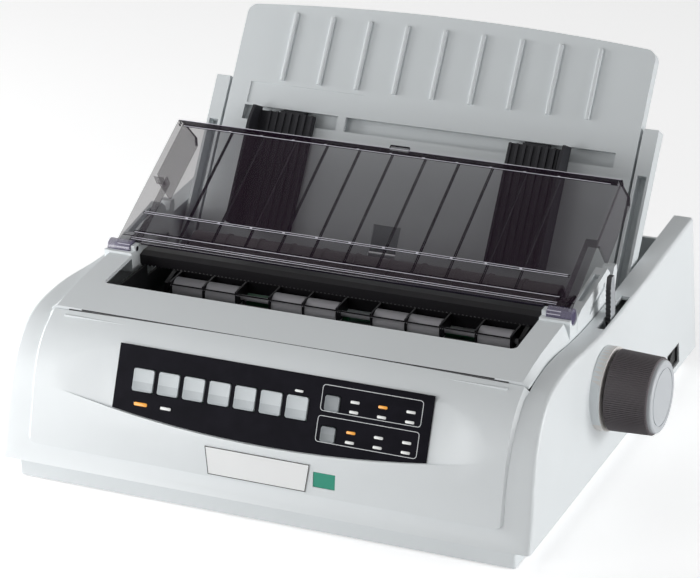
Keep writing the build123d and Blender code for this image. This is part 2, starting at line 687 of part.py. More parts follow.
# ---------------------------------------------------------------- paper feed
def gear(teeth, thick, bore, phase):
    """A spur gear across X, with its centre at the origin and a tooth at the phase angle."""
    pitch_r = gear_module * teeth / 2
    root_r, tip_r = pitch_r - 1.2 * gear_module, pitch_r + 0.85 * gear_module
    step = 360 / teeth
    outline = []
    for i in range(teeth):
        middle = phase + i * step
        for radius, share in ((root_r, -0.29), (pitch_r, -0.21), (tip_r, -0.10), (tip_r, 0.10),
                              (pitch_r, 0.21), (root_r, 0.29)):
            turn = radians(middle + share * step)
            outline.append((0, radius * cos(turn), radius * sin(turn)))
    body = extrude(make_face(Polyline(*outline, close=True)), amount=thick, dir=(1, 0, 0))
    return body - rod(-1, thick + 1, (0, 0), bore)


def meshed(centre, phase, teeth, next_teeth, direction):
    """The next gear's centre and phase, in mesh with a gear at the given centre and phase."""
    reach = gear_module * (teeth + next_teeth) / 2
    turn = radians(direction)
    next_centre = (centre[0] + reach * cos(turn), centre[1] + reach * sin(turn))
    share = ((direction - phase) / (360 / teeth)) % 1
    next_phase = direction + 180 + share * 360 / next_teeth + 180 / next_teeth
    return next_centre, next_phase


idler_axis, idler_phase = meshed(platen_axis, 0, platen_teeth, idler_teeth, idler_turn)
transfer_axis, transfer_phase = meshed(idler_axis, idler_phase, idler_teeth, transfer_teeth,
                                       transfer_turn)
tractor_axis, tractor_phase = meshed(transfer_axis, transfer_phase, transfer_teeth, tractor_teeth,
                                     tractor_turn)
pinion_axis, pinion_phase = meshed(idler_axis, idler_phase, idler_teeth, pinion_teeth, pinion_turn)
support_axis = (tractor_axis[0] + 30, tractor_axis[1] + 4)
gear_x = -(frame_x + frame_thick + gear_gap + gear_thick)


def placed_gear(centre, teeth, bore, phase):
    return Pos(gear_x, *centre) * gear(teeth, gear_thick, bore, phase)


def platen_shaft():
    return rod(gear_x - 3, knob_start + knob_grip, platen_axis, shaft_r)


def platen_roller():
    return rod(-platen_half, platen_half, platen_axis, platen_r) - rod(
        -platen_half - 1, platen_half + 1, platen_axis, shaft_r)


def platen_knob():
    length = knob_end - knob_start
    place = Pos((knob_start + knob_end) / 2, *platen_axis) * Rot(0, 90, 0)
    body = place * Cone(knob_r - knob_groove, knob_end_r - knob_groove, length)
    taper = degrees(atan2(knob_end_r - knob_r, length))
    for i in range(knob_ribs):
        rib = Pos(knob_r - 1.3, 0, 0) * Rot(0, taper, 0) * Box(1.6, knob_rib, length)
        body += place * Rot(0, 0, 360 * i / knob_ribs) * rib
    return body - rod(knob_start - 1, knob_start + knob_grip + 0.2, platen_axis, shaft_r)


def knob_cap():
    cap = rod(knob_end, knob_end + cap_thick, platen_axis, cap_r)
    cap = fillet(cap.edges().sort_by(Axis.X)[-1], 1.6)
    inner, outer = cap_ring
    groove = rod(knob_end + cap_thick - 0.6, knob_end + cap_thick + 1, platen_axis, outer)
    return cap - (groove - rod(knob_end, knob_end + cap_thick + 1, platen_axis, inner))


def side_frames():
    return group([side_frame(-1), side_frame(1)])


def side_frame(side):
    x0, x1 = sorted((side * frame_x, side * (frame_x + frame_thick)))
    plate = prism(frame_outline, x0, x1)
    for centre, radius in ((platen_axis, shaft_r + pin_clear), (rail_axis, rail_r),
                           (bail_axis, bail_pin_r + pin_clear), (tractor_axis, journal_r + pin_clear),
                           (support_axis, support_r), (pinion_axis, 3.0)):
        plate -= rod(x0 - 1, x1 + 1, centre, radius)
    inner = side * (frame_x - 5.5)
    flange = block(min(x0, inner), max(x1, inner), frame_outline[0][0], frame_outline[-1][0],
                   tray_top, tray_top + 2)
    flange -= both(rod(frame_x - 10, frame_x, pinion_axis, motor_r + 0.3))
    return plate + flange


def hinge_pins():
    """Pins of the cover, separator and belt pulley, and studs of the two gears and the lever."""
    pins = []
    for centre, start in ((cover_axis, ear_x + 1), (sep_pivot, sep_arm_in + 2)):
        for side in (-1, 1):
            x0, x1 = sorted((side * start, side * (arm_inner + arm_wall + 2)))
            pins.append(rod(x0, x1, centre, pin_r))
    for centre in (idler_axis, transfer_axis):
        stud = rod(gear_x - 0.3, -frame_x - frame_thick, centre, stud_r)
        pins.append(stud + rod(gear_x - 2, gear_x - 0.3, centre, 4.5))
    x0 = arm_inner + arm_wall
    pins.append(rod(x0, lever_x[0] - 0.4, lever_axis, 5) + rod(x0, lever_x[1] + 0.8, lever_axis, 3))
    top = belt_z + pulley_pin_top
    pin = Cylinder(pulley_pin_r, top - tray_top)
    pins.append(Pos(-belt_half, pulley_y, (tray_top + top) / 2) * pin)
    return group(pins)


def paper_bail():
    half = bail_cell * bail_cells / 2
    roller = bail_roller_axis()
    bar = block(-half - 6, half + 6, roller[0] + 10.5, roller[0] + 13, roller[1] - 1, roller[1] + 8)
    body = bar
    for i in range(bail_cells + 1):
        x = -half + bail_cell * i
        fin = [(-8, -3), (-8, 7), (12, 8), (12, -1), (0, -4)]
        fin = [(roller[0] + y, roller[1] + z) for y, z in fin]
        body += prism(fin, x - 0.6, x + 0.6)
    arm = [(roller[0] + y, roller[1] + z) for y, z in ((12, -4), (-4, -4), (-4, 4), (12, 8))]
    arm += [(bail_axis[0] + 5, bail_axis[1] + 6), (bail_axis[0] + 5, bail_axis[1] - 6)]
    body += both(prism(arm, half + 4, half + 7))
    body -= rod(-half - 10, half + 10, roller, bail_rod_r + pin_clear)
    return body + both(rod(half + 6, frame_x + frame_thick, bail_axis, bail_pin_r))


def bail_roller_axis():
    return platen_axis[0] - 1.0, platen_axis[1] + platen_r + bail_roller_r + bail_gap


def bail_rollers():
    half = bail_cell * bail_cells / 2
    axis = bail_roller_axis()
    body = rod(-half - 7, half + 7, axis, bail_rod_r)
    for i in range(bail_cells):
        if i % 3 != 2:
            x = -half + bail_cell * i
            body += rod(x + 1.2, x + bail_cell - 1.2, axis, bail_roller_r)
    return body


# ---------------------------------------------------------------- carriage
belt_z = rail_axis[1] - belt_drop
pulley_y = rail_axis[0] + 2
nose = platen_axis[0] - platen_r - head_gap      # rear end of the print head
cartridge_low = platen_axis[1] + cartridge_rise


def carriage():
    y, z = rail_axis
    body = block(-carriage_half, carriage_half, y - 10, y + 12, z - 10, z + 14)
    body += block(-carriage_half, carriage_half, y + 4, y + 20, z + 2, z + 9)
    grip = pulley_y - pulley_r - belt_thick - 0.7
    body += block(-8, 8, grip - 4, grip, belt_z - 3, z - 9)
    body -= rod(-carriage_half - 1, carriage_half + 1, rail_axis, rail_r + 0.05)
    return Pos(carriage_home, 0, 0) * body


def print_head():
    z = platen_axis[1]
    body = block(-13, 13, nose - 30, nose - 10, z + 2.2, z + 20)
    body += prism([(nose - 10, z + 2.2), (nose - 10, z + 14), (nose, z + 5.5), (nose, z + 2.2)], -6, 6)
    for i in range(5):
        body += block(-16, 16, nose - 30 + 4.6 * i, nose - 30 + 4.6 * i + 1.6, z + 4, z + 18)
    return Pos(carriage_home, 0, 0) * body


def ribbon_cartridge():
    z = cartridge_low
    body = block(-carriage_half, carriage_half, nose - 34, nose - 6, z, z + 9)
    body = fillet(body.edges().filter_by(Axis.Z), 4)
    for side in (-1, 1):
        x = side * 19
        body += block(x - 3, x + 3, nose - 12, nose - 2, z - 12, z + 4)
    body -= Pos(0, nose - 22, z + 9) * Cylinder(ribbon_knob_r + 0.3, 4)
    return Pos(carriage_home, 0, 0) * body


def ribbon_knob():
    body = Pos(0, nose - 22, cartridge_low + 9.6) * Cylinder(ribbon_knob_r, 4.6)
    body -= Pos(0, nose - 22, cartridge_low + 12) * Box(1.6, 7, 1.4)
    return Pos(carriage_home, 0, 0) * body




def pulley(x):
    body = Cylinder(pulley_r, 7)
    for height in (-4, 4):
        body += Pos(0, 0, height) * Cylinder(pulley_r + 1.5, 1)
    body -= Cylinder(pulley_pin_r + pin_clear, 12)
    body -= Pos(pulley_r * 0.6, 0, 4) * Cylinder(0.8, 2)
    return Pos(x, pulley_y, belt_z) * body


def carriage_belt():
    outer = SlotCenterToCenter(2 * belt_half, 2 * (pulley_r + belt_gap + belt_thick))
    inner = SlotCenterToCenter(2 * belt_half, 2 * (pulley_r + belt_gap))
    return Pos(0, pulley_y, belt_z - 2.5) * extrude(outer - inner, amount=5)


# ---------------------------------------------------------------- tractors
def tractor(x):
    y, z = tractor_axis
    sy, sz = support_axis
    body = block(-9, 9, y - 13, sy + 10, z - 9, z + 9)
    body = fillet(body.edges().filter_by(Axis.X), 6)
    lid = block(-11, 13, y - 10, sy + 8, z + 10, z + 12.4)
    body += lid + block(-9, -7, y - 4, sy, z + 6, z + 11)
    body -= rod(-8, 8, tractor_axis, 11.4)
    body -= rod(-20, 20, tractor_axis, 6.5)
    body -= rod(-20, 20, (sy, sz), support_r + pin_clear)
    return Pos(x, 0, 0) * body


def tractor_sprocket(x):
    body = rod(-6, 6, tractor_axis, 10)
    for i in range(8):
        turn = 45 * i
        pin = Pos(0, *tractor_axis) * Rot(turn, 0, 0) * (Pos(0, 0, 10.2) * Cylinder(0.9, 1.8))
        body += pin
    body -= rod(-8, 8, tractor_axis, shaft_square * 0.72)
    return Pos(x, 0, 0) * body


def tractor_shaft():
    y, z = tractor_axis
    half = shaft_square / 2
    body = block(-frame_x + 1, frame_x - 1, y - half, y + half, z - half, z + half)
    body += rod(gear_x - 2, -frame_x + 1.5, tractor_axis, journal_r)
    return body + rod(frame_x - 1.5, frame_x + 4, tractor_axis, journal_r)


# ---------------------------------------------------------------- motors and electrics
def line_feed_motor():
    body = rod(-frame_x, -frame_x + motor_length, pinion_axis, motor_r)
    return body - rod(-frame_x - 1, -frame_x + 12, pinion_axis, motor_shaft_r + pin_clear)


def motor_pinion():
    teeth = placed_gear(pinion_axis, pinion_teeth, motor_shaft_r - 0.1, pinion_phase)
    return teeth + rod(gear_x, -frame_x + 11, pinion_axis, motor_shaft_r)


def carriage_motor():
    can = Pos(belt_half, pulley_y, 13.5) * Cylinder(carriage_motor_half, 13)
    plate = Box(2 * carriage_motor_half, 2 * carriage_motor_half, 2)
    top = belt_z + pulley_pin_top
    shaft = Pos(belt_half, pulley_y, (tray_top + top) / 2) * Cylinder(pulley_pin_r, top - tray_top)
    return can + Pos(belt_half, pulley_y, tray_top + 1) * plate + shaft


def main_board():
    """The circuit board: transformer, capacitors, heat sink, connectors and chips."""
    top = board_low + board_thick
    board = block(-140, 60, 20, 160, board_low, top)
    for x, y, wide, deep, tall in ((-132, 84, 36, 32, 30), (-84, 88, 8, 30, 24), (-40, 100, 24, 12, 4),
                                   (-40, 60, 14, 30, 4), (10, 84, 24, 24, 5), (-20, 140, 40, 14, 6),
                                   (40, 50, 12, 40, 8)):
        board += block(x, x + wide, y, y + deep, top, top + tall)
    for x in (-66, -56):
        board += Pos(x, 96, top + 11) * Cylinder(4.5, 22)
    for x in (-134, 54):
        for y in (26, 154):
            board += post(x, y, board_low, 3.5)
    return board


def post(x, y, top, radius):
    """A round post from the casing's floor up to the given height."""
    return Pos(x, y, (floor_top + top) / 2) * Cylinder(radius, top - floor_top)


def chassis_tray():
    reach = frame_x + frame_thick
    tray = block(-reach, reach, frame_outline[0][0] - 4, frame_outline[-1][0] + 2, tray_low, tray_top)
    tray -= block(-136, 136, 16, 124, tray_low - 1, tray_top + 1)
    tray -= Pos(belt_half, pulley_y, tray_low) * Cylinder(carriage_motor_half + 0.4, 6)
    for x, y in ((-120, -98), (120, -98), (-100, 8), (120, 8), (-146, 128), (146, 128)):
        tray += post(x, y, tray_low, post_r)
    return tray - rod(-frame_x - 1, -frame_x + motor_length + 1, pinion_axis, motor_r + 0.6)


def platen_pan():
    """The curved plate under the platen that turns the paper up in front of it."""
    outer, inner = platen_r + 4.0, platen_r + 2.4
    ring = rod(-146, 146, platen_axis, outer) - rod(-147, 147, platen_axis, inner)
    y, z = platen_axis
    ring &= block(-146, 146, y - 30, y + 30, z - 30, z - 4)
    for x in (-132, -66, 0, 66, 132):
        ring += block(x - 2, x + 2, y - 10, y + 10, 20, z - inner - 0.4)
    return ring


def paper_chute():
    """The ribbed, rounded guide that leads sheets from the separator down to the platen."""
    y, z = chute_axis
    body = rod(-chute_half, chute_half, chute_axis, chute_r)
    for i in range(chute_rings):
        x = lid_rib_pitch * (i - (chute_rings - 1) / 2)
        body += rod(x - 0.8, x + 0.8, chute_axis, chute_r + chute_ring)
    body -= rod(-chute_half - 1, chute_half + 1, chute_axis, chute_r - chute_thick)
    body -= block(-frame_x, frame_x, y - 20, y + 20, z - 30, z - 4)
    for side in (-1, 1):
        x0, x1 = sorted((side * (chute_half - 2), side * frame_x))
        body += block(x0, x1, y - 9, y + 9, z - 6, z - 1)
    return body


def paper_lever():
    y, z = lever_axis
    outline = [(y - 7, z - 6), (y + 7, z - 6), (y + 6, z + 10), (y + 3.5, lever_top - 8), (y + 2, lever_top),
               (y - 3, lever_top), (y - 5, lever_top - 6), (y - 5, z + 30), (y - 6, z + 10)]
    body = prism(outline, *lever_x)
    for i in range(lever_ribs):
        top = lever_top - 8.6 - lever_rib_pitch * i
        body += block(*lever_x, y - 5.8, y - 4.6, top - 1.4, top)
    return body - rod(lever_x[0] - 1, lever_x[1] + 1, lever_axis, 3.0 + pin_clear)


def switch_body():
    y0, y1 = rocker_y
    z0, z1 = rocker_z
    body = block(case_half - 14, case_half - 1.4, y0 + socket_clear, y1 - socket_clear,
                 z0 + socket_clear, z1 - socket_clear)
    rim = socket_clear + switch_wall
    return body - block(case_half - 9, case_half, y0 + rim, y1 - rim, z0 + rim, z1 - rim)


def power_rocker():
    y, z = sum(rocker_y) / 2, sum(rocker_z) / 2
    length = (rocker_y[1] - rocker_y[0]) / 2 - rocker_clear
    top = case_half - 0.6
    outline = Polyline((top - 6, y - length, 0), (top + 1.2, y - length, 0), (top - 0.8, y, 0),
                       (top - 1.8, y + length, 0), (top - 5.4, y + length - 1, 0), (top - 7.2, y, 0),
                       close=True)
    height = rocker_z[1] - rocker_z[0] - 5
    body = extrude(Pos(0, 0, z - height / 2) * make_face(outline), amount=height)
    return body + Pos(top - 4.4, y, z) * Cylinder(rocker_pin_r, height + 0.8)


def rear_sockets():
    return group([power_inlet(), interface_socket()])


def power_inlet():
    x = inlet_x
    half = inlet_half - socket_clear
    low, high = inlet_z[0] + socket_clear, inlet_z[1] - socket_clear
    body = block(x - half, x + half, case_rear - 20, case_rear + 0.5, low, high)
    body -= block(x - half + 2.7, x + half - 2.7, case_rear - 14, case_rear + 2, low + 3.2, high - 3.2)
    for dx, foot in ((-5, 38), (0, 40), (5, 38)):
        body += block(x + dx - 1, x + dx + 1, case_rear - 15, case_rear - 3, foot, foot + 5)
    return body


def interface_socket():
    half = socket_half - socket_clear
    low, high = socket_z[0] + socket_clear, socket_z[1] - socket_clear
    body = block(-half, half, case_rear - 14, case_rear + 0.5, low, high)
    body -= block(-half + 5.7, half - 5.7, case_rear - 6, case_rear + 2, low + 3.7, high - 3.7)
    return body + block(-20, 20, case_rear - 8, case_rear - 2, 37.5, 40.5)


def feet():
    pads = []
    for x in (-foot_x, foot_x):
        for y in (-foot_y, foot_y):
            pads.append(Pos(x, y, (foot_height + foot_seat) / 2) * Cylinder(foot_r, foot_height + foot_seat))
    return group(pads)


parts = {
    "upper_casing": upper_casing(),
    "lower_casing": lower_casing(),
    "front_plates": front_plates(),
    "control_panel": control_panel(),
    "panel_lamps": panel_lamps(),
    "key_board": key_board(),
    "access_cover": access_cover(),
    "tear_bar": tear_bar(),
    "smoke_lid": smoke_lid(),
    "paper_separator": paper_separator(),
    "separator_frame": separator_frame(),
    "left_sheet_guide": sheet_guide(-1),
    "right_sheet_guide": sheet_guide(1),
    "hinge_pins": hinge_pins(),
    "side_frames": side_frames(),
    "chassis_tray": chassis_tray(),
    "platen_pan": platen_pan(),
    "paper_chute": paper_chute(),
    "platen_shaft": platen_shaft(),
    "platen_roller": platen_roller(),
    "platen_gear": placed_gear(platen_axis, platen_teeth, shaft_r, 0),
    "platen_knob": platen_knob(),
    "knob_cap": knob_cap(),
    "idler_gear": placed_gear(idler_axis, idler_teeth, stud_bore, idler_phase),
    "transfer_gear": placed_gear(transfer_axis, transfer_teeth, stud_bore, transfer_phase),
    "motor_pinion": motor_pinion(),
    "line_feed_motor": line_feed_motor(),
    "tractor_gear": placed_gear(tractor_axis, tractor_teeth, journal_r, tractor_phase),
    "tractor_shaft": tractor_shaft(),
    "tractor_support": rod(-frame_x - frame_thick, frame_x + frame_thick, support_axis, support_r),
    "left_tractor": tractor(-tractor_home),
    "right_tractor": tractor(tractor_home),
    "left_sprocket": tractor_sprocket(-tractor_home),
    "right_sprocket": tractor_sprocket(tractor_home),
    "paper_bail": paper_bail(),
    "bail_rollers": bail_rollers(),
    "carriage_rail": rod(-frame_x - frame_thick, frame_x + frame_thick, rail_axis, rail_r),
    "carriage": carriage(),
    "print_head": print_head(),
    "ribbon_cartridge": ribbon_cartridge(),
    "ribbon_knob": ribbon_knob(),
    "carriage_belt": carriage_belt(),
    "carriage_motor": carriage_motor(),
    "motor_pulley": pulley(belt_half),
    "idler_pulley": pulley(-belt_half),
    "paper_lever": paper_lever(),
    "switch_body": switch_body(),
    "power_rocker": power_rocker(),
    "rear_sockets": rear_sockets(),
    "main_board": main_board(),
    "feet": feet(),
}

for name, (u, v, size) in zip(key_names, key_places):
    parts[name] = key(u, v, size)

whole = group(parts.values()).bounding_box()
to_origin = Pos(-(whole.min.X + whole.max.X) / 2, -(whole.min.Y + whole.max.Y) / 2, -whole.min.Z)
os.makedirs("parts", exist_ok=True)
for name, shape in parts.items():
    export_step(to_origin * shape, f"parts/{name}.step")
print(len(parts), "parts, moved by", to_origin.position)
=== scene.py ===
import math
import bmesh
import bpy
from mathutils import Matrix, Vector


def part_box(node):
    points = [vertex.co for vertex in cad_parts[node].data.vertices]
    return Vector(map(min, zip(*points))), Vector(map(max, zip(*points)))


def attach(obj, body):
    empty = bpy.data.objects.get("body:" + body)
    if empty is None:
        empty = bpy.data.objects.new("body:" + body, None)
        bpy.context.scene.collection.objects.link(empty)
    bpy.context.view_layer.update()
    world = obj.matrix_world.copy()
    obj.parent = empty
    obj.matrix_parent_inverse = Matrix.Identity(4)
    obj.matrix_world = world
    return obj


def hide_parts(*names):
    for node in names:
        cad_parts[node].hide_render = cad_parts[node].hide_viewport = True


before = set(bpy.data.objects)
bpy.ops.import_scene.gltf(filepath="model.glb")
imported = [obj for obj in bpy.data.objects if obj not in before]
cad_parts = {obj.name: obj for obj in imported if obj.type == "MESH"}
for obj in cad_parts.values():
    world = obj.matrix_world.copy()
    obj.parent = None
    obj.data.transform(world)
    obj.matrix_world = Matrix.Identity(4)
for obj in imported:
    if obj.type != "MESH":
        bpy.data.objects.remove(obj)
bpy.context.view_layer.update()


# ---------------------------------------------------------------- desk and light
# The printer stands on a pale desk top, painted with a smooth eggshell paint.
# Three low soft boxes light its left side, its right wall and, more weakly, its front. Only
# the desk is seen, and it isn't part of the machine.
class Wire:
    """One value in a finish's node tree; arithmetic on it adds the Math nodes."""

    def __init__(self, tree, socket=None):
        self.tree = tree
        self.socket = socket

    def node(self, kind, inputs=(), output=0, stops=(), **settings):
        """Any other node: its settings and ramp stops first, then its values and links."""
        made = self.tree.nodes.new("ShaderNode" + kind)
        for name, value in settings.items():
            setattr(made, name, value)
        for place, (position, grey) in enumerate(stops):
            ramp = made.color_ramp.elements
            stop = ramp[place] if place < len(ramp) else ramp.new(position)
            stop.position = position
            stop.color = (grey, grey, grey, 1)
        for name, value in dict(inputs).items():
            if isinstance(value, Wire):
                self.tree.links.new(value.socket, made.inputs[name])
            else:
                made.inputs[name].default_value = value
        return Wire(self.tree, made.outputs[output])

    def maths(self, operation, first, second):
        return self.node("Math", {0: first, 1: second}, operation=operation)

    def __add__(self, other):
        return self.maths("ADD", self, other)

    def __radd__(self, other):
        return self.maths("ADD", other, self)

    def __sub__(self, other):
        return self.maths("SUBTRACT", self, other)

    def __rsub__(self, other):
        return self.maths("SUBTRACT", other, self)

    def __mul__(self, other):
        return self.maths("MULTIPLY", self, other)

    def __rmul__(self, other):
        return self.maths("MULTIPLY", other, self)


def new_finish(name, **steady):
    """A finish with its steady values set; gives the finish, its shader and its coordinates."""
    finish = bpy.data.materials.new(name)
    finish.use_nodes = True
    shader = finish.node_tree.nodes["Principled BSDF"]
    for socket, value in steady.items():
        shader.inputs[socket.replace("_", " ")].default_value = value
    place = Wire(finish.node_tree).node("TexCoord", output="Object")
    return finish, shader, place


def connect(shader, socket, wire):
    wire.tree.links.new(wire.socket, shader.inputs[socket])


def between(share, first, second):
    """A colour between two, by a share of 0 to 1."""
    return share.node("Mix", {0: share, 6: (*first, 1), 7: (*second, 1)}, output=2, data_type="RGBA")


def patches(place, size, detail=3.0):
    """Uneven patches about this large, in metres, as a share of 0 to 1."""
    return place.node("TexNoise", {"Vector": place, "Scale": 1 / size, "Detail": detail})


feet_low, feet_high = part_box("feet")
middle = Vector(((feet_low.x + feet_high.x) / 2, (feet_low.y + feet_high.y) / 2, 0))
desk_width = 9.0
bpy.ops.object.select_all(action="DESELECT")
bpy.ops.mesh.primitive_plane_add(size=desk_width, location=middle)
desk = bpy.context.object
desk.name = "desk_top"
paint, shader, place = new_finish("eggshell_paint", Roughness=0.8, Emission_Strength=1.0)
connect(shader, "Base Color", between(patches(place, 0.4), (0.93, 0.93, 0.93), (0.91, 0.91, 0.915)))
camera_ray = place.node("LightPath", output="Is Camera Ray")
glow = 0.47
connect(shader, "Emission Color", between(camera_ray * glow, (0, 0, 0), (1, 1, 1)))
desk.data.materials.append(paint)


def soft_box(name, place, size, power):
    """A square lamp with a diffuser, turned towards the middle of the machine."""
    lamp = bpy.data.lights.new(name, "AREA")
    lamp.shape = "SQUARE"
    lamp.size = size
    lamp.energy = power
    holder = bpy.data.objects.new(name, lamp)
    bpy.context.scene.collection.objects.link(holder)
    holder.location = middle + Vector(place)
    holder.rotation_mode = "QUATERNION"
    aim = middle + Vector((0, 0, 0.1)) - holder.location
    holder.rotation_quaternion = aim.to_track_quat("-Z", "Y")


soft_box("left_box", (-1.42, -0.30, 0.36), 0.6, 14)
soft_box("right_box", (1.62, 0.14, 0.26), 0.7, 17)
soft_box("front_box", (-0.72, -1.08, 0.30), 0.6, 6.5)
room = bpy.data.worlds.new("pale_room")
bpy.context.scene.world = room
room.use_nodes = True
room_light = 0.235
ray = Wire(room.node_tree)
direct, mirrored, through = (ray.node("LightPath", output=kind)
                             for kind in ("Is Camera Ray", "Is Glossy Ray", "Is Transmission Ray"))
seen = ray.maths("MAXIMUM", direct, ray.maths("MAXIMUM", mirrored, through))
backdrop = room.node_tree.nodes["Background"]
backdrop.inputs["Color"].default_value = (1, 1, 1, 1)
room.node_tree.links.new((seen * (1 - room_light) + room_light).socket, backdrop.inputs["Strength"])
bpy.context.scene.view_settings.view_transform = "Standard"

# ---------------------------------------------------------------- camera
# A long lens, in front of the machine's right corner and above it, leaning a little.
camera_turn, camera_rise, camera_lean = (math.radians(angle) for angle in (25.173, 24.061, -1.910))
camera_far = 2.1259
camera_aim = middle + Vector((-0.0201, 0.0328, 0.0857))
back = Vector((math.sin(camera_turn) * math.cos(camera_rise),
               -math.cos(camera_turn) * math.cos(camera_rise), math.sin(camera_rise)))
level = Vector((math.cos(camera_turn), math.sin(camera_turn), 0))
upright = back.cross(level)
across = math.cos(camera_lean) * level + math.sin(camera_lean) * upright
upwards = math.cos(camera_lean) * upright - math.sin(camera_lean) * level
lens = bpy.data.cameras.new("camera")
lens.lens = 150.17
lens.sensor_width = 36.0
camera = bpy.data.objects.new("camera", lens)
bpy.context.scene.collection.objects.link(camera)
turned = Matrix((across, upwards, back)).transposed().to_4x4()
camera.matrix_world = Matrix.Translation(camera_aim + back * camera_far) @ turned
bpy.context.scene.camera = camera

# ---------------------------------------------------------------- lower casing and feet
# The lower casing is a shallow tray of light grey plastic, moulded in one piece, on which
# everything else is screwed down. Four rubber pads are pressed into pockets under it.
light_grey = (0.775, 0.81, 0.825)


def moulded(name, colour, rough=0.5, grain=0.0007, depth=0.06, uneven=0.03, shine=0.5):
    """Moulded plastic: the fine grain of a spark-eroded mould, and slightly uneven gloss."""
    finish, shader, place = new_finish(name, Specular_IOR_Level=shine)
    paler = tuple(min(1, part * (1 + uneven)) for part in colour)
    darker = tuple(part * (1 - uneven) for part in colour)
    wide = patches(place, 0.07)
    connect(shader, "Base Color", between(wide, darker, paler))
    fine = patches(place, grain, 1.0)
    connect(shader, "Roughness", wide * 0.1 + fine * 0.08 + (rough - 0.09))
    bump = place.node("Bump", {"Height": fine, "Strength": depth, "Distance": 0.0002})
    connect(shader, "Normal", bump)
    return finish


def select_only(piece):
    bpy.ops.object.select_all(action="DESELECT")
    piece.select_set(True)
    bpy.context.view_layer.objects.active = piece


def edge_rounded(piece, width, sharp=28, segments=2):
    """Rounds the edges that turn more than the sharp angle, and shades the rest as smooth."""
    select_only(piece)
    bpy.ops.object.shade_smooth_by_angle(angle=math.radians(sharp))
    edges = piece.modifiers.new("edges", "BEVEL")
    edges.width = width
    edges.segments = segments
    edges.limit_method = "ANGLE"
    edges.angle_limit = math.radians(sharp)
    edges.harden_normals = True
    bpy.ops.object.modifier_apply(modifier="edges")


def detailed(node, body, finish, width, sharp=28):
    """A moulded piece made from a copy of its solid: merged, its flat faces whole, its edges round."""
    piece = bpy.data.objects.new(node + "_moulding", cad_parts[node].data.copy())
    bpy.context.scene.collection.objects.link(piece)
    select_only(piece)
    if piece.data.has_custom_normals:
        bpy.ops.mesh.customdata_custom_splitnormals_clear()
    bpy.ops.object.mode_set(mode="EDIT")
    bpy.ops.mesh.select_all(action="SELECT")
    bpy.ops.mesh.remove_doubles(threshold=1e-6)
    bpy.ops.mesh.dissolve_limited(angle_limit=math.radians(0.4))
    bpy.ops.mesh.dissolve_degenerate(threshold=1e-5)
    bpy.ops.object.mode_set(mode="OBJECT")
    edge_rounded(piece, width, sharp)
    piece.data.materials.clear()
    piece.data.materials.append(finish)
    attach(piece, body)
    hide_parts(node)
    return piece


def repaint(finish, *nodes):
    """Gives kept solids their finish."""
    for node in nodes:
        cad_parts[node].material_slots[0].material = finish


casing_finish = moulded("light_grey_casing", light_grey, rough=0.38)
rubber = moulded("black_rubber", (0.03, 0.03, 0.032), rough=0.8, depth=0.2)
detailed("lower_casing", "casing", casing_finish, 0.0008)
repaint(rubber, "feet")

# ---------------------------------------------------------------- chassis and electrics
# A folded steel tray and two black plates carry the works. Motors are drawn steel cans, and
# the circuit boards are green laminate with their parts soldered on.
def metal(name, colour, rough=0.35, streak=0.004):
    """Rolled or turned metal with fine streaks along the machine."""
    finish, shader, place = new_finish(name, Metallic=1.0)
    drawn = place.node("Mapping", {"Vector": place, "Scale": (0.06, 1, 1)})
    streaks = patches(drawn, streak, 4.0)
    darker = tuple(part * 0.85 for part in colour)
    connect(shader, "Base Color", between(streaks, darker, colour))
    connect(shader, "Roughness", streaks * 0.2 + (rough - 0.1))
    return finish


bright_steel = metal("bright_steel", (0.62, 0.62, 0.63))
motor_can = metal("motor_can", (0.34, 0.35, 0.36), rough=0.45)
brass = metal("turned_brass", (0.72, 0.55, 0.26))
black_plate = moulded("black_plate", (0.006, 0.006, 0.007), rough=0.6, shine=0.15)
laminate = moulded("green_laminate", (0.01, 0.13, 0.05), rough=0.35, grain=0.002)
acetal = moulded("white_acetal", (0.78, 0.77, 0.72), rough=0.4)
repaint(bright_steel, "hinge_pins", "chassis_tray", "tractor_shaft", "tractor_support", "carriage_rail",
        "platen_shaft")
repaint(motor_can, "line_feed_motor", "carriage_motor")
repaint(brass, "motor_pinion")
repaint(laminate, "main_board", "key_board")
repaint(acetal, "platen_gear", "idler_gear", "transfer_gear", "tractor_gear", "motor_pulley",
        "idler_pulley", "left_sprocket", "right_sprocket")
repaint(black_plate, "side_frames", "platen_pan", "left_tractor", "right_tractor")

# ---------------------------------------------------------------- platen and carriage
# The platen is a steel shaft in a black rubber sleeve. The print head's finned casting rides
# on a rail below the ribbon, pulled by a toothed rubber belt.
cast_metal = metal("cast_metal", (0.42, 0.43, 0.45), rough=0.5)
inner_black = moulded("inner_black", (0.010, 0.009, 0.011), rough=0.4, shine=0.3)
repaint(rubber, "platen_roller", "carriage_belt")
repaint(inner_black, "carriage", "ribbon_cartridge", "ribbon_knob")
repaint(cast_metal, "print_head")

# ---------------------------------------------------------------- bail and tear bar
# A black plastic bail holds grey rubber rollers on the paper. The tear bar is a black
# moulding with a saw-toothed front edge, fixed under the cover.
roller_grey = moulded("roller_grey", (0.56, 0.55, 0.58), rough=0.7, shine=0.2)
detailed("paper_bail", "bail", inner_black, 0.0002)
repaint(roller_grey, "bail_rollers")
repaint(inner_black, "tear_bar")


def select_only_parts(piece, kind, test):
    """In edit mode, selects only the faces or edges that pass a test."""
    if piece.mode != "EDIT":
        select_only(piece)
        bpy.ops.object.mode_set(mode="EDIT")
    bpy.ops.mesh.select_mode(type="FACE" if kind == "faces" else "EDGE")
    mesh = bmesh.from_edit_mesh(piece.data)
    for item in [*mesh.verts, *mesh.edges, *mesh.faces]:
        item.select_set(False)
    for item in getattr(mesh, kind):
        if test(item):
            item.select_set(True)
    bmesh.update_edit_mesh(piece.data)


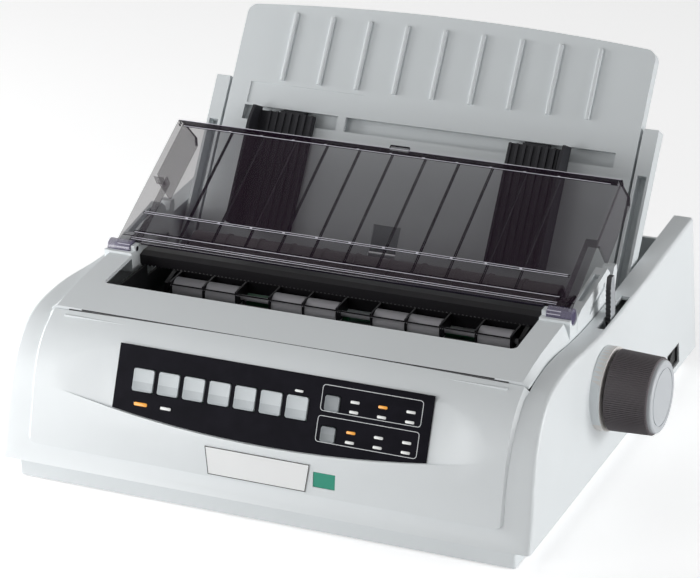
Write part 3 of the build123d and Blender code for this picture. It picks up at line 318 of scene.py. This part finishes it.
def shaped(piece, finish, sharp=30):
    """Leaves edit mode, with the faces outwards, the shading smooth and the finish on."""
    bpy.ops.mesh.select_all(action="SELECT")
    bpy.ops.mesh.normals_make_consistent(inside=False)
    bpy.ops.object.mode_set(mode="OBJECT")
    bpy.ops.object.shade_smooth_by_angle(angle=math.radians(sharp))
    piece.data.materials.append(finish)


def new_block(name, centre, size):
    """A block at its size and place, whose object stays at the origin."""
    bpy.ops.object.select_all(action="DESELECT")
    bpy.ops.mesh.primitive_cube_add(size=1, location=centre)
    piece = bpy.context.object
    piece.name = piece.data.name = name
    piece.scale = size
    bpy.ops.object.transform_apply(location=True, rotation=False, scale=True)
    return piece


def joined(name, pieces):
    bpy.ops.object.select_all(action="DESELECT")
    for piece in pieces:
        piece.select_set(True)
    bpy.context.view_layer.objects.active = pieces[0]
    bpy.ops.object.join()
    pieces[0].name = pieces[0].data.name = name
    return pieces[0]


strip_grey = moulded("strip_grey", (0.50, 0.49, 0.52), rough=0.35)
rollers_low, rollers_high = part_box("bail_rollers")
roller_axis = (rollers_low + rollers_high) / 2
strip_half, strip_thick, strip_tall = 0.1322, 0.0006, 0.0009
tooth_pitch, tooth_long = 0.0016, 0.0008
strip_front = roller_axis + Vector((0, -0.0083, 0.0056))
strip = new_block("saw_strip", strip_front, (2 * strip_half, strip_thick, strip_tall))
strip.data.materials.append(inner_black)
pieces = []
for tooth in range(int(2 * strip_half / tooth_pitch)):
    along = tooth_pitch * (tooth + 0.5) - strip_half
    place = strip_front + Vector((along, 0, -(strip_tall + tooth_long) / 2 + 0.0001))
    pieces.append(new_block("saw_tooth", place, (tooth_pitch * 0.6, strip_thick, tooth_long)))
    select_only_parts(pieces[-1], "faces", lambda face: face.normal.z < -0.9)
    bpy.ops.transform.resize(value=(0.3, 1, 1))
    bpy.ops.object.mode_set(mode="OBJECT")
teeth = joined("saw_teeth", pieces)
select_only(teeth)
bpy.ops.object.mode_set(mode="EDIT")
shaped(teeth, strip_grey)
for piece in (strip, teeth):
    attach(piece, "bail")

# ---------------------------------------------------------------- upper casing
# One large moulding: the front with its panel seat, both arms and the side walls. Its
# visible edges are rounded by the mould. The collar round the knob's shaft is a warmer grey.
# A black strip on the ledge and a thin black lip on the cover fill the joint: painted shadow of the gap.
collar_finish = moulded("warm_collar", (0.80, 0.775, 0.75))
upper = detailed("upper_casing", "casing", casing_finish, 0.0007, 24)
upper.data.materials.append(collar_finish)
knob_low, knob_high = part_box("platen_knob")
knob_axis = (knob_low + knob_high) / 2
wall_x = middle.x + 0.2005
for face in upper.data.polygons:
    out = face.center - knob_axis
    if face.center.x > wall_x and math.hypot(out.y, out.z) < 0.030:
        face.material_index = 1
# Two thin black strips, one on the casing's ledge and one on the cover's edge, lie in the joint between them:
# painted shadow, the dark line of the gap.
for name, body, half, back, foot, high, wide in (("gap_shadow_strip", "casing", 0.165, 0.12165, 0.1104, 0.0022, 0.0006),
                                                 ("cover_gap_shadow_lip", "cover", 0.155, 0.12145, 0.1128, 0.0009, 0.0003)):
    gap_shade = new_block(name, middle + Vector((0, -back, foot + high / 2)), (2 * half, wide, high))
    select_only_parts(gap_shade, "faces", lambda face: face.normal.z > 0.9)
    bpy.ops.mesh.bevel(offset=wide * 0.2, segments=2, affect="EDGES")
    shaped(gap_shade, rubber)
    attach(gap_shade, body)

# ---------------------------------------------------------------- control panel
# A satin black film, printed from behind and glued into the front's seat. Two thin white
# outlines are printed round the two groups of lamps and their keys.
slope = math.radians(66.0)
panel_foot = middle + Vector((0, -0.155, 0.070))
panel_up = Vector((0, math.cos(slope), math.sin(slope)))
panel_out = Vector((0, -math.sin(slope), math.cos(slope)))
panel_place = Matrix.Translation(panel_foot) @ Matrix(
    (Vector((1, 0, 0)), panel_up, panel_out)).transposed().to_4x4()
film_thick = 0.001
film, shader, place = new_finish("black_film", Roughness=0.4, Specular_IOR_Level=0.03)
cloud = patches(place, 0.012, 6.0)
connect(shader, "Base Color", between(cloud, (0.003, 0.003, 0.005), (0.013, 0.012, 0.018)))
connect(shader, "Normal", place.node("Bump", {"Height": patches(place, 0.0005, 2.0), "Strength": 0.15,
                                              "Distance": 0.0001}))
detailed("control_panel", "casing", film, 0.0002)


def upright_edge(edge):
    """True for an edge that stands at right angles to the panel's plane."""
    run = edge.verts[1].co - edge.verts[0].co
    return abs(run.z) > 0.9 * run.length


ink = moulded("white_ink", (0.72, 0.74, 0.76), rough=0.4, depth=0.02)
line_width = 0.00042
ink_thick = 0.00006
outline_round = 0.0024
outlines = []
for left, right, low, high in ((0.0406, 0.1139, 0.014, 0.032), (0.0400, 0.1139, -0.007, 0.011)):
    outline = new_block("lamp_group_outline", ((left + right) / 2, (low + high) / 2, film_thick),
                        (right - left, high - low, ink_thick * 2))
    select_only_parts(outline, "edges", upright_edge)
    bpy.ops.mesh.bevel(offset=outline_round, segments=6, affect="EDGES")
    select_only_parts(outline, "faces", lambda face: abs(face.normal.z) > 0.9)
    bpy.ops.mesh.inset(thickness=line_width)
    bpy.ops.mesh.bridge_edge_loops()
    shaped(outline, ink)
    outlines.append(outline)
printed = joined("panel_outlines", outlines)
printed.data.transform(panel_place)
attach(printed, "casing")

# ---------------------------------------------------------------- keys
# Nine moulded key caps, seven large and two small, with softly dished tops. Each moves in
# its own window in the film and presses a switch on the board behind.
key_row = 0.0132


def key_plastic(name, upper, lower, split):
    """Key plastic whose printed lower half, below the split height, is a darker grey."""
    finish = moulded(name, upper, rough=0.38, grain=0.0005, depth=0.05)
    shader = finish.node_tree.nodes["Principled BSDF"]
    place = Wire(finish.node_tree).node("TexCoord", output="Object")
    height = place.node("SeparateXYZ", {"Vector": place}, output=2)
    share = height.maths("LESS_THAN", height, split)
    share = share * 0.9 + patches(place, 0.006) * 0.1
    connect(shader, "Base Color", between(share, upper, lower))
    return finish


def height_of(row):
    return (panel_foot + panel_up * row).z


large_grey = key_plastic("large_key_grey", (0.52, 0.56, 0.58), (0.40, 0.435, 0.455), height_of(key_row - 0.0004))
small_grey = key_plastic("small_key_grey", (0.21, 0.23, 0.245), (0.185, 0.205, 0.215), height_of(0.0))
small_rows = {"quality_key": 0.0198, "pitch_key": -0.0012}
key_top = 0.0021
key_foot = 0.0003
large_key, small_key = 0.0158, 0.0106


def key_cap(size, finish):
    cap = new_block("key_cap", (0, 0, (key_foot + key_top) / 2), (size, size, key_top - key_foot))
    select_only_parts(cap, "edges", upright_edge)
    bpy.ops.mesh.bevel(offset=0.0016, segments=5, affect="EDGES")
    select_only_parts(cap, "faces", lambda face: face.normal.z > 0.9)
    bpy.ops.mesh.inset(thickness=0.0004)
    bpy.ops.mesh.inset(thickness=0.0009)
    bpy.ops.transform.translate(value=(0, 0, -0.00018))
    rim = size / 2 - 0.0001
    select_only_parts(cap, "edges", lambda edge: all(v.co.z > key_top - 1e-6 for v in edge.verts)
            and max(abs(v.co.x) for v in edge.verts) > 0 and sum(f.normal.z > 0.9 for f in edge.link_faces) == 1
            and all(max(abs(v.co.x), abs(v.co.y)) > rim - 0.0017 for v in edge.verts))
    bpy.ops.mesh.bevel(offset=0.00035, segments=3, affect="EDGES")
    shaped(cap, finish, 40)
    return cap


patterns = {large_key: key_cap(large_key, large_grey), small_key: key_cap(small_key, small_grey)}
for name in [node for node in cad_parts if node.endswith("_key")]:
    low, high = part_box(name)
    pattern = patterns[small_key if name in small_rows else large_key]
    cap = bpy.data.objects.new(name + "_cap", pattern.data.copy())
    bpy.context.scene.collection.objects.link(cap)
    spot = Vector(((low.x + high.x) / 2 - middle.x, small_rows.get(name, key_row), 0))
    cap.data.transform(panel_place @ Matrix.Translation(spot))
    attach(cap, name)
    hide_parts(name)
for pattern in patterns.values():
    bpy.data.objects.remove(pattern)

# ---------------------------------------------------------------- lamps
# Small diffused windows in the film, each over its lamp. Most are white, three show amber.
lamp_size = (0.0064, 0.0019)
lamp_rows = (0.0231, 0.0164, 0.0026, -0.0040)
lamp_columns = (0.0652, 0.0854, 0.1057)
amber = {(0.0854, 0.0231), (0.0652, 0.0026), (-0.0925, -0.0034)}
windows = {(column, row): lamp_size for column in lamp_columns for row in lamp_rows}
windows.update({(-0.0925, -0.0034): (0.0100, 0.0024), (-0.0731, -0.0034): (0.0080, 0.0020),
                (0.0239, 0.0244): (0.0060, 0.0016)})


def window(spot, size):
    pane = new_block("lamp_window", (*spot, film_thick), (*size, 0.0005))
    select_only_parts(pane, "edges", upright_edge)
    bpy.ops.mesh.bevel(offset=size[1] * 0.35, segments=4, affect="EDGES")
    select_only_parts(pane, "faces", lambda face: face.normal.z > 0.9)
    bpy.ops.mesh.inset(thickness=0.0002)
    bpy.ops.transform.translate(value=(0, 0, 0.0001))
    return pane


def lit_window(name, colour, strength):
    finish, shader, place = new_finish(name, Roughness=0.25, Emission_Strength=strength)
    shade = patches(place, 0.004)
    tint = between(shade, tuple(part * 0.9 for part in colour), colour)
    connect(shader, "Base Color", tint)
    connect(shader, "Emission Color", tint)
    return finish


white_window = lit_window("white_window", (0.82, 0.83, 0.82), 0.08)
amber_window = lit_window("amber_window", (0.90, 0.38, 0.05), 0.25)
for name, finish, chosen in (("white_lamps", white_window, set(windows) - amber),
                             ("amber_lamps", amber_window, amber)):
    panes = []
    for spot in sorted(chosen):
        pane = window(spot, windows[spot])
        shaped(pane, finish)
        panes.append(pane)
    lamps = joined(name, panes)
    lamps.data.transform(panel_place)
    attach(lamps, "casing")
    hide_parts("panel_lamps")

# ---------------------------------------------------------------- plates under the panel
# A bare white badge plate ringed by a thin black line, painted shadow of the gap round it, and
# beside it a small green label, both in shallow pockets of the front.
plate_white = moulded("plate_white", (0.90, 0.91, 0.91), rough=0.3, depth=0.02)
label_green = moulded("label_green", (0.02, 0.30, 0.20), rough=0.4, depth=0.02)
badge_shadow_black = moulded("badge_shadow_black", (0.02, 0.02, 0.022), rough=0.4, depth=0.02)
plates = detailed("front_plates", "casing", plate_white, 0.0002)
plates.data.materials.append(label_green)
for face in plates.data.polygons:
    if face.center.x > middle.x + 0.0405:
        face.material_index = 1
badge_low, badge_high = 0.0017, 0.0215
badge_low_half, badge_high_half = 0.0366, 0.0394
badge_face = 0.0005
lean = math.radians(81.52)
# A thin black ring round the badge: painted shadow of the gap round the plate.
badge_gap_shadow = new_block("badge_gap_shadow", (0, (badge_low + badge_high) / 2, badge_face),
                       (2 * badge_low_half, badge_high - badge_low, 0.00012))
select_only_parts(badge_gap_shadow, "faces", lambda face: face.normal.y > 0.9)
bpy.ops.transform.resize(value=(badge_high_half / badge_low_half, 1, 1))
select_only_parts(badge_gap_shadow, "faces", lambda face: abs(face.normal.z) > 0.9)
bpy.ops.mesh.inset(thickness=0.00055)
bpy.ops.mesh.bridge_edge_loops()
shaped(badge_gap_shadow, badge_shadow_black)
badge_gap_shadow.data.transform(Matrix.Translation(middle + Vector((0, -0.1694, 0.0285))) @ Matrix(
    (Vector((1, 0, 0)), Vector((0, math.cos(lean), math.sin(lean))),
     Vector((0, -math.sin(lean), math.cos(lean))))).transposed().to_4x4())
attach(badge_gap_shadow, "casing")

# ---------------------------------------------------------------- access cover
# The grey cover with the large opening, hinged at the rear on its two ears.
detailed("access_cover", "cover", casing_finish, 0.0005, 24)

# ---------------------------------------------------------------- smoke lid
# Clear acrylic tinted purple-grey, moulded with thin ribs; its edges look nearly black
# because the light runs along inside them.
def acrylic(name, alpha, shine, darker, paler):
    finish, shader, place = new_finish(name, Roughness=0.07, Alpha=alpha, Specular_IOR_Level=shine)
    connect(shader, "Base Color", between(patches(place, 0.05), darker, paler))
    return finish


smoke = acrylic("smoke_acrylic", 0.31, 0.12, (0.019, 0.007, 0.018), (0.029, 0.012, 0.028))
smoke_edge = acrylic("smoke_edges", 0.94, 0.4, (0.006, 0.003, 0.012), (0.013, 0.008, 0.022))
# The hinge barrels take a paler, more opaque and glossier copy of the smoke acrylic; its paler colour is painted
# highlight.
barrel_acrylic_painted_light = acrylic("barrel_acrylic_painted_light", 0.62, 1.0, (0.10, 0.08, 0.17), (0.20, 0.18, 0.30))
# A near-white acrylic for the lid's painted highlights.
painted_highlight_acrylic = acrylic("painted_highlight_acrylic", 0.90, 1.0, (0.70, 0.68, 0.78), (0.84, 0.83, 0.90))
lid = detailed("smoke_lid", "lid", smoke, 0.0003)
lid.data.materials.append(smoke_edge)
lid.data.materials.append(barrel_acrylic_painted_light)
lid_slope = math.radians(28.4)
lid_out = Vector((0, -math.sin(lid_slope), math.cos(lid_slope)))
lid_up = Vector((0, math.cos(lid_slope), math.sin(lid_slope)))
lid_foot = middle + Vector((0, -0.0350, 0.1246))
barrel_reach, barrel_start = 0.0064, 0.1602
step_along, step_area = 0.070, 6e-6
for face in lid.data.polygons:
    out = face.center - lid_foot
    side = abs(face.normal.x) > 0.9 and abs(out.x) > 0.160
    stepped = abs(out.x) > 0.150 and abs(out.dot(lid_up) - step_along) < 0.010 and face.area > step_area
    if abs(out.x) > barrel_start and math.hypot(out.y, out.z) < barrel_reach:
        face.material_index = 2
    elif abs(face.normal.dot(lid_out)) < 0.95 and not side and not stepped:
        face.material_index = 1
lid_place = Matrix.Translation(lid_foot) @ Matrix((Vector((1, 0, 0)), lid_up, lid_out)).transposed().to_4x4()
# Thin near-white strips along the lid's ridges and crease, ticks where the ribs meet them, and short strips on
# the hinge barrels: painted highlights, standing in for light caught by the acrylic.
highlight_wide = 0.0004
highlight_lines = ((0.0067, 0.0020, 0.1640), (0.0083, 0.0020, 0.1640), (0.0132, 0.0020, 0.1640), (0.0312, 0.0020, 0.1640),
          (0.0328, 0.0020, 0.1640), (0.1164, 0.0017, 0.1680), (0.1220, 0.0010, 0.1740))
painted_highlights = [((0, along, top), (2 * half, highlight_wide, highlight_wide)) for along, top, half in highlight_lines]
rib_pitch, rib_highlight_size = 0.0259, (0.0018, 0.0009, 0.0005)
painted_highlights += [((rib_pitch * rib, along, 0.0021), rib_highlight_size) for rib in range(-5, 6) for along in (0.0320, 0.1164)]
barrel_highlight_x, barrel_highlight_out, barrel_highlight_size = 0.1655, 0.0056, (0.0100, 0.0005, 0.0005)
for turn in (20, 50, 75):
    rise = Vector((0, -math.cos(math.radians(turn)), math.sin(math.radians(turn)))) * barrel_highlight_out
    painted_highlights += [(Vector((side * barrel_highlight_x, 0, 0)) + rise, barrel_highlight_size) for side in (-1, 1)]
highlight_strips = []
for spot, size in painted_highlights:
    highlight_strip = new_block("lid_highlight_strip", spot, size)
    select_only_parts(highlight_strip, "edges", lambda edge: abs(edge.verts[0].co.x - edge.verts[1].co.x) > 0.001)
    bpy.ops.mesh.bevel(offset=size[2] * 0.3, segments=2, affect="EDGES")
    shaped(highlight_strip, painted_highlight_acrylic)
    highlight_strips.append(highlight_strip)
highlight_strips = joined("lid_painted_highlights", highlight_strips)
highlight_strips.data.transform(lid_place)
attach(highlight_strips, "lid")

# ---------------------------------------------------------------- paper separator
# A large light grey sheet with nine raised ribs. Its arms swing on pins in the casing, and
# a rail behind its slot carries the sheet guides.
separator_finish = moulded("separator_grey", (0.655, 0.69, 0.705), rough=0.42)
detailed("separator_frame", "separator", separator_finish, 0.0004)
repaint(separator_finish, "paper_separator")
chute_finish = moulded("chute_grey", (0.22, 0.205, 0.21), rough=0.5, shine=0.25)
repaint(chute_finish, "paper_chute")

# ---------------------------------------------------------------- sheet guides
# Two dark ribbed guides that slide along the slot to the paper's edges.
guide_dark = moulded("guide_dark", (0.016, 0.016, 0.020), rough=0.45, shine=0.25)
for side in ("left", "right"):
    detailed(side + "_sheet_guide", side + "_guide", guide_dark, 0.0003)

# ---------------------------------------------------------------- knob
# The platen's knob: a ribbed dark cap, with a light grey disc pressed into its end.
knob_ribs, knob_rib_high = 110, 0.0007
knob_finish = moulded("knob_brown", (0.130, 0.115, 0.123), rough=0.5)
knob_long, knob_wide = knob_high.x - knob_low.x, (knob_high.z - knob_low.z) / 2
bpy.ops.object.select_all(action="DESELECT")
bpy.ops.mesh.primitive_cylinder_add(vertices=2 * knob_ribs, radius=knob_wide - knob_rib_high,
                                    depth=knob_long, location=knob_axis, rotation=(0, math.pi / 2, 0))
knob = bpy.context.object
knob.name = knob.data.name = "ribbed_knob"
bpy.ops.object.transform_apply(location=True, rotation=True, scale=True)
select_only_parts(knob, "faces", lambda face: face.normal.x > 0.9)
bpy.ops.transform.resize(value=(1, 0.953, 0.953))
bpy.ops.mesh.bevel(offset=0.0006, segments=2, affect="EDGES")
half_rib = math.pi / (2 * knob_ribs)


def on_rib(face):
    """True for every second long face round the knob."""
    out = face.calc_center_median() - knob_axis
    place = round((math.atan2(out.z, out.y) / half_rib - 1) / 2)
    return abs(face.normal.x) < 0.1 and place % 2 == 0


select_only_parts(knob, "faces", on_rib)
bpy.ops.mesh.inset(thickness=0.00012, depth=knob_rib_high, use_individual=True)
shaped(knob, knob_finish)
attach(knob, "platen")
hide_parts("platen_knob")
cap_finish = moulded("cap_grey", (0.53, 0.555, 0.58), rough=0.4)
repaint(cap_finish, "knob_cap")

# ---------------------------------------------------------------- lever, switch and sockets
# The paper thickness lever stands in its slot; the power rocker and the sockets are black.
lever_finish = moulded("lever_grey", (0.03, 0.03, 0.033), rough=0.4, shine=0.3)
lever_painted_lit_side = moulded("lever_painted_lit_side", (0.36, 0.38, 0.40), rough=0.4)
switch_black = moulded("switch_black", (0.016, 0.016, 0.017), rough=0.35)
lever = detailed("paper_lever", "paper_lever", lever_finish, 0.0004)
# The lever's faces turned to the right are a lighter grey: painted light on its lit side.
lever.data.materials.append(lever_painted_lit_side)
for face in lever.data.polygons:
    if face.normal.x > 0.5:
        face.material_index = 1
repaint(switch_black, "switch_body", "power_rocker", "rear_sockets")
